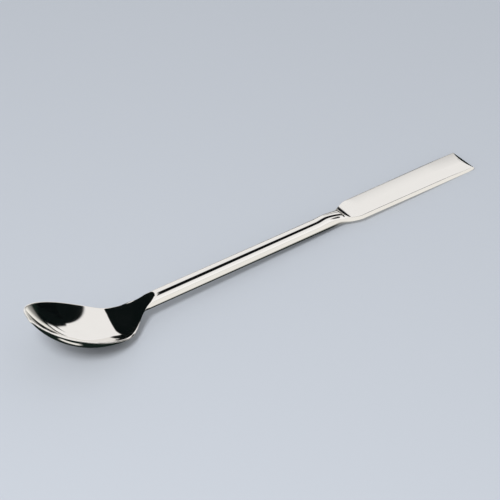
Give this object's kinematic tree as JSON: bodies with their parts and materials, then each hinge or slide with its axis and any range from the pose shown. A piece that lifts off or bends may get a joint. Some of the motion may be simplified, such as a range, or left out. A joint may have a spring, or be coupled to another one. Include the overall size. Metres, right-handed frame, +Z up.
{
  "type": "laboratory spoon spatula",
  "caption": "One-piece polished steel laboratory spatula: an oval hollow spoon at one end of a slim round handle and a flat, square-ended blade at the other, for scooping and spreading powders.",
  "frame": {"origin": "middle of the piece's length and width, on the surface it rests on", "axes": "+X along the piece from the spoon to the blade, +Y across it, +Z up; the piece lies as it comes to rest"},
  "size_m": [0.1792, 0.0266, 0.0225],
  "materials": {
    "polished_steel": "bright mirror-polished stainless steel with fine polishing lines"
  },
  "bodies": {
    "root": {"spoon_spatula": "polished_steel"}
  },
  "joints": []
}
